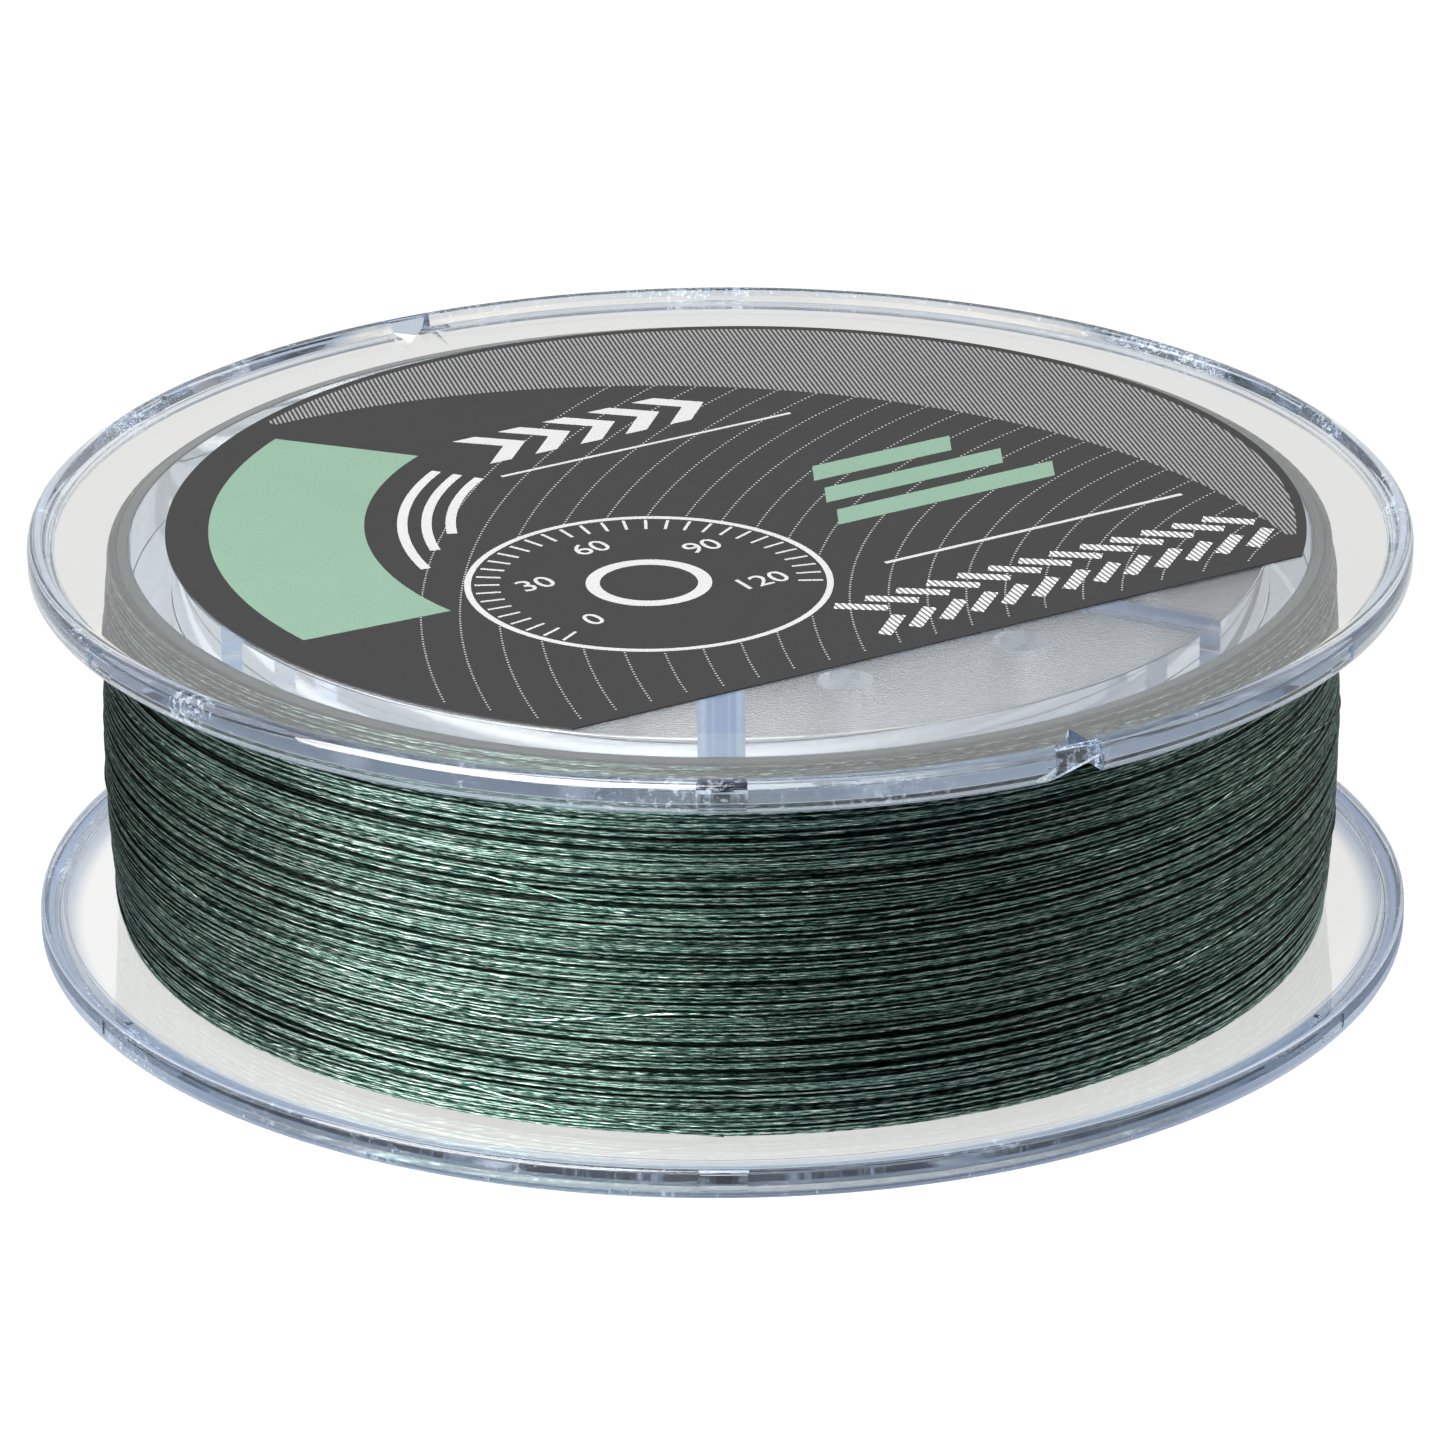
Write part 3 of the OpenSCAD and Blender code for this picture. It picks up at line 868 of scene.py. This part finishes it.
DIAL_U, DIAL_V, DIAL_R = -9.5, -6.0, 10.5
mint_bars = [stroke(4.5 + 1.3 * k, -3.0 + 3.4 * k, 19.5 - 1.4 * k, -3.0 + 3.4 * k, 2.1, 1.2)
             for k in range(3)]
echoes = [band(19.6 - 1.4 * k, 19.0 - 1.4 * k, (124, 124), (172 - 8 * k, 172 - 8 * k), 48)
          for k in range(3)]
arrows = [chevron(-7.5 + 3.1 * k, 17.6, 1.5, 2.2) for k in range(5)]
rules = [stroke(3.5, -10.6, 24.0, -10.6, 0.30), stroke(-8.0, 13.2, 12.0, 13.2, 0.25)]
rings = [ring(DIAL_U, DIAL_V, DIAL_R, 0.38), ring(DIAL_U, DIAL_V, 3.6, 0.8)]
inks = [
    new_piece("label_lune", together(
        [lune(Vector((-14.0, -12.0)), 40.0, -37.0, 118.0, 96)]), HATCHED),
    new_piece("label_mint_shapes", together(
        [band(30.5, 21.5, (122, 119), (186, 190), 64)] + mint_bars), MINT),
    new_piece("label_white_lines", together(rings + rules + echoes + arrows), WHITE),
]
print("inks:", [piece.name for piece in inks])


# %% [markdown]
# ### Repeated print
# Ticks round the dial, lozenges of the plait band and the dotted lines are copies of one small
# shape on a row of points. One Geometry Nodes tree serves all of them: it lays rows on arcs,
# leaves out the points off the film and sets a small prism on each that is left.

# %% The dotting tree
INK_INSET = 0.3  # copies stay this far inside the printed part, mm


def dotting_tree():
    """Rows of small prisms on arcs about a centre, kept to the printed part of the film."""
    tree = bpy.data.node_groups.new("dot_rows", "GeometryNodeTree")
    calc = partial(sum_up, tree)
    given = add_sockets(tree, (
        ("Int", ("Rows", "Per row", "Sides")), ("Vector", ("Centre", "Size", "Hole")),
        ("Float", ("First radius", "Row pitch", "Pitch", "Start", "Low", "Turn",
                   "Hole radius")),
        ("Material", ("Material",))))
    count = calc("MULTIPLY", given["Rows"], given["Per row"])
    line = node(tree, "GeometryNodeMeshLine", {"Count": count})
    index = node(tree, "GeometryNodeInputIndex").outputs[0]
    row = calc("FLOOR", calc("DIVIDE", calc("ADD", index, 0.5), given["Per row"]))
    in_row = calc("SUBTRACT", index, calc("MULTIPLY", row, given["Per row"]))
    radius = calc("MULTIPLY_ADD", row, given["Row pitch"], given["First radius"])
    angle = calc("ADD", given["Start"], calc("DIVIDE", calc("MULTIPLY", in_row, given["Pitch"]),
                                             radius))
    away = node(tree, "ShaderNodeCombineXYZ", {
        "X": calc("MULTIPLY", radius, calc("COSINE", angle)),
        "Y": calc("MULTIPLY", radius, calc("SINE", angle)), "Z": given["Low"]})
    spot = vectors(tree, "ADD", away.outputs[0], given["Centre"])[0]
    laid = node(tree, "GeometryNodeSetPosition",
                {"Geometry": line.outputs[0], "Position": spot})
    all_points, kept_angle = captured(tree, laid.outputs[0], "Angle", angle)
    here = node(tree, "GeometryNodeInputPosition").outputs[0]
    centred = vectors(tree, "SUBTRACT", here, (LABEL_AT.x * MM, LABEL_AT.y * MM, 0.0))[0]
    level = vectors(tree, "MULTIPLY", centred, (1, 1, 0))[0]
    far = vectors(tree, "LENGTH", level)["Value"]
    back = vectors(tree, "DOT_PRODUCT", level, (V_AXIS.x, V_AXIS.y, 0.0))["Value"]
    off = calc("MAXIMUM", calc("GREATER_THAN", far, (PRINT_R - INK_INSET) * MM),
               calc("LESS_THAN", back, (INK_INSET - PRINT_CUT) * MM))
    to_hole = vectors(tree, "DISTANCE", here, given["Hole"])["Value"]
    off = calc("MAXIMUM", off, calc("LESS_THAN", to_hole, given["Hole radius"]))
    kept = node(tree, "GeometryNodeDeleteGeometry",
                {"Geometry": all_points, "Selection": off}, domain="POINT")
    dot = node(tree, "GeometryNodeMeshCylinder", {
        "Vertices": given["Sides"], "Radius": 0.5, "Depth": 1.0}).outputs["Mesh"]
    squared = node(tree, "ShaderNodeCombineXYZ", {
        "Z": calc("DIVIDE", math.pi, given["Sides"])})
    flat_on = node(tree, "GeometryNodeTransform",
                   {"Geometry": dot, "Rotation": squared.outputs[0]})
    sized = node(tree, "GeometryNodeTransform",
                 {"Geometry": flat_on.outputs[0], "Scale": given["Size"]})
    facing = node(tree, "ShaderNodeCombineXYZ", {"Z": calc("ADD", kept_angle, given["Turn"])})
    copies = node(tree, "GeometryNodeInstanceOnPoints", {
        "Points": kept.outputs[0], "Instance": sized.outputs[0], "Rotation": facing.outputs[0]})
    real = node(tree, "GeometryNodeRealizeInstances", {0: copies.outputs[0]})
    inked = node(tree, "GeometryNodeSetMaterial",
                 {"Geometry": real.outputs[0], "Material": given["Material"]})
    node(tree, "NodeGroupOutput", {0: inked.outputs[0]})
    return tree


DOT_ROWS = dotting_tree()


def printed_rows(name, rows, per_row, centre, first, row_pitch, pitch, start, sides, size,
                 turn, material, hole_r=0.0):
    """Runs the tree; lengths are millimetres and angles degrees from the u axis."""
    middle, dial = on_film(*centre), on_film(DIAL_U, DIAL_V)
    return grown(name, DOT_ROWS, Rows=rows, Per_row=per_row,
                 Centre=(middle.x * MM, middle.y * MM, 0.0), First_radius=first * MM,
                 Row_pitch=row_pitch * MM, Pitch=pitch * MM,
                 Start=math.radians(start + LABEL_TURN), Sides=sides,
                 Size=tuple(c * MM for c in size),
                 Low=(FILM_TOP + size[2] / 2 - INK_SINK) * MM, Turn=math.radians(turn),
                 Hole=(dial.x * MM, dial.y * MM, FILM_TOP * MM), Hole_radius=hole_r * MM,
                 Material=material)


# %% Ticks, plait band and dotted lines
TICK_R, TICK_STEP = 9.2, 7.5
PLAIT = dict(rows=1, per_row=13, first=400.0, row_pitch=0.0, pitch=2.1, start=88.3, sides=4,
             size=(4.3, 1.14, INK_SINK + INK_T), material=WOVEN)
rows = [
    printed_rows("label_ticks", 1, 33, (DIAL_U, DIAL_V), TICK_R, 0.0,
                 TICK_R * math.radians(TICK_STEP), -30, 4, (2.0, 0.26, INK_SINK + INK_T), 0,
                 WHITE),
    printed_rows("label_plait_rising", centre=(12.0, -418.6), turn=40 - 90, **PLAIT),
    printed_rows("label_plait_falling", centre=(12.0, -415.4), turn=-40 - 90, **PLAIT),
    printed_rows("label_dots", 24, 380, (34.0, -36.0), 15.0, 2.2, 0.36, 60,
                 6, (0.14, 0.14, INK_SINK + DOT_T), 0, DOTTED, DIAL_R),
]
for piece in rows:
    print(piece.name, "triangles:", triangles(piece))
inks += rows


# %% Numbers on the dial
NUMBER_R, NUMBER_SIZE, NUMBER_STEP = 6.4, 2.3, 60
FIRST_NUMBER_AT = 210  # degrees from the u axis
JOIN_WITHIN = 0.0000005  # metres


def numerals(name, marks, size):
    """Plain numbers as thin solids; marks holds (text, u, v)."""
    shape = bmesh.new()
    for text, u, v in marks:
        letters = bpy.data.curves.new(name, "FONT")
        letters.body, letters.size = text, size * MM
        letters.extrude = (INK_SINK + INK_T) / 2 * MM
        letters.align_x, letters.align_y, letters.resolution_u = "CENTER", "CENTER", 4
        holder = new_object(name, letters)
        bpy.context.view_layer.update()
        mesh = mesh_now(holder)
        bpy.data.objects.remove(holder)
        middle = on_film(u, v)
        middle = Vector((middle.x, middle.y, FILM_TOP + (INK_T - INK_SINK) / 2)) * MM
        mesh.transform(Matrix.Translation(middle) @ Matrix.Rotation(
            math.radians(LABEL_TURN), 4, "Z"))
        shape.from_mesh(mesh)
    bmesh.ops.remove_doubles(shape, verts=shape.verts, dist=JOIN_WITHIN)
    bmesh.ops.recalc_face_normals(shape, faces=shape.faces)
    mesh = bpy.data.meshes.new(name)
    shape.to_mesh(mesh)
    shape.free()
    return new_piece(name, mesh, WHITE)


ways = [math.radians(FIRST_NUMBER_AT - NUMBER_STEP * k) for k in range(5)]
dial_marks = [(str(30 * k), DIAL_U + NUMBER_R * math.cos(way), DIAL_V + NUMBER_R * math.sin(way))
              for k, way in enumerate(ways)]
inks.append(numerals("label_numbers", dial_marks, NUMBER_SIZE))
for piece in [label] + inks:
    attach(piece, "root")

# %% [markdown]
# ## Floor, lights and world
# These are the studio, not the spool. The camera sees a plain white floor. A ray that comes
# out of the plastic finds light and shadow painted on it by how far from the axis it lands:
# painted bright under the drum, and a painted shadow, darker and bluer, where the rims shade the
# floor.

# %% Floor
FLOOR_HALF, FLOOR_Z = 3.0, -0.00002
FLOOR_PAINTED_LIGHT_AND_SHADOW = (  # millimetres from the axis and the painted light or shadow that clear rays find there
    (27.4, (0.66, 0.66, 0.65)), (28.6, (0.98, 0.98, 0.98)), (31.0, (0.98, 0.98, 0.98)),
    (31.9, (0.62, 0.62, 0.61)), (37.6, (0.62, 0.62, 0.61)), (38.4, (0.26, 0.31, 0.39)),
    (39.2, (0.20, 0.24, 0.33)), (42.0, (0.24, 0.29, 0.38)), (46.0, (0.44, 0.46, 0.49)),
    (49.0, (0.78, 0.70, 0.60)), (56.0, (0.78, 0.70, 0.60)), (59.0, (0.53, 0.53, 0.52)))
TONES_REACH = 100  # the ramp's far end, mm
CLEAR_GLOW, OTHER_GLOW = 1.30, 0.03


def clear_rays(tree, path):
    """1 for a ray that comes out of clear plastic."""
    return sum_up(tree, "MAXIMUM", path["Is Transmission Ray"], path["Is Singular Ray"])


floor_white, tree = new_material("floor_white")
calc = partial(sum_up, tree)
path = node(tree, "ShaderNodeLightPath").outputs
spot = node(tree, "ShaderNodeTexCoord").outputs["Object"]
away = vectors(tree, "LENGTH", spot)["Value"]
painted_floor_light = ramped(tree, calc("MULTIPLY", away, 1 / (TONES_REACH * MM)),
             [(at / TONES_REACH, tone) for at, tone in FLOOR_PAINTED_LIGHT_AND_SHADOW])
# painted light: inside the drum the floor is painted brighter on the key light's side
aside = node(tree, "ShaderNodeSeparateXYZ", {0: spot}).outputs["X"]
painted_key_patch = node(tree, "ShaderNodeMapRange", {"Value": aside, "From Min": -0.004,
                                           "From Max": 0.024, "To Min": 1.60, "To Max": 0.35})
in_drum = calc("LESS_THAN", away, (DRUM_R - DRUM_WALL) * MM)
dimmed = node(tree, "ShaderNodeMix", {0: in_drum, 2: 1.0, 3: painted_key_patch.outputs["Result"]})
glow = calc("MAXIMUM", path["Is Camera Ray"],
            calc("MULTIPLY_ADD", clear_rays(tree, path), CLEAR_GLOW - OTHER_GLOW, OTHER_GLOW))
glow = calc("MULTIPLY", glow, calc("MAXIMUM", dimmed.outputs[0], path["Is Camera Ray"]))
skin = node(tree, "ShaderNodeBsdfPrincipled", {
    "Base Color": (0.03, 0.03, 0.03, 1), "Roughness": 0.8,
    "Emission Color": blended(tree, path["Is Camera Ray"], painted_floor_light, (1, 1, 1)),
    "Emission Strength": glow})
node(tree, "ShaderNodeOutputMaterial", {"Surface": skin.outputs[0]})
floor_white.cycles.emission_sampling = "NONE"
floor_mesh = bpy.data.meshes.new("floor")
floor_mesh.from_pydata([(x * FLOOR_HALF, y * FLOOR_HALF, FLOOR_Z)
                        for x, y in ((-1, -1), (1, -1), (1, 1), (-1, 1))], [], [(0, 1, 2, 3)])
floor = new_piece("floor", floor_mesh, floor_white)

# %% Lights
SOFT_BOXES = (  # name, azimuth, elevation, distance, size, power
    ("key", -44, 38, 0.9, (0.90, 1.0), 32.5),
    ("left", -100, 30, 1.0, (0.6, 0.9), 3.5),
    ("right", 98, 26, 1.0, (0.8, 0.8), 4.2),
    ("top", 10, 80, 1.1, (1.6, 1.3), 1.5),
    ("back", 140, 25, 1.0, (0.5, 0.8), 1.2),
)
for name, azimuth, elevation, distance, size, power in SOFT_BOXES:
    lamp = bpy.data.lights.new(name, "AREA")
    lamp.shape, lamp.size, lamp.size_y, lamp.energy = "RECTANGLE", size[0], size[1], power
    box = new_object(name, lamp)
    a, up = math.radians(azimuth), math.radians(elevation)
    back = Vector((math.sin(a) * math.cos(up), -math.cos(a) * math.cos(up), math.sin(up)))
    box.location = back * distance
    box.rotation_euler = (-back).to_track_quat("-Z", "Y").to_euler()
    box.visible_transmission = False

# %% World
world = bpy.data.worlds.new("studio")
world.use_nodes = True
tree = world.node_tree
calc = partial(sum_up, tree)
path = node(tree, "ShaderNodeLightPath").outputs
ray = node(tree, "ShaderNodeSeparateXYZ",
           {0: node(tree, "ShaderNodeTexCoord").outputs["Generated"]}).outputs
behind = node(tree, "ShaderNodeMapRange", {"Value": ray["Y"], "From Min": -0.1,
                                           "From Max": 0.7}).outputs["Result"]
around = tree.nodes["Background"]
tree.links.new(blended(tree, behind, (0.42, 0.56, 0.88), (1.0, 1.0, 1.0)),
               around.inputs["Color"])
seen_clear = calc("MULTIPLY", clear_rays(tree, path), calc("MULTIPLY_ADD", behind, 0.50, 0.21))
seen_back = calc("MULTIPLY", path["Is Glossy Ray"], calc("MULTIPLY", behind, 0.2))
tree.links.new(calc("ADD", calc("MAXIMUM", seen_clear, seen_back), 0.02),
               around.inputs["Strength"])
bpy.context.scene.world = world
bpy.context.scene.view_settings.view_transform = "Standard"
paths = bpy.context.scene.cycles
paths.max_bounces = paths.glossy_bounces = paths.transmission_bounces = 40
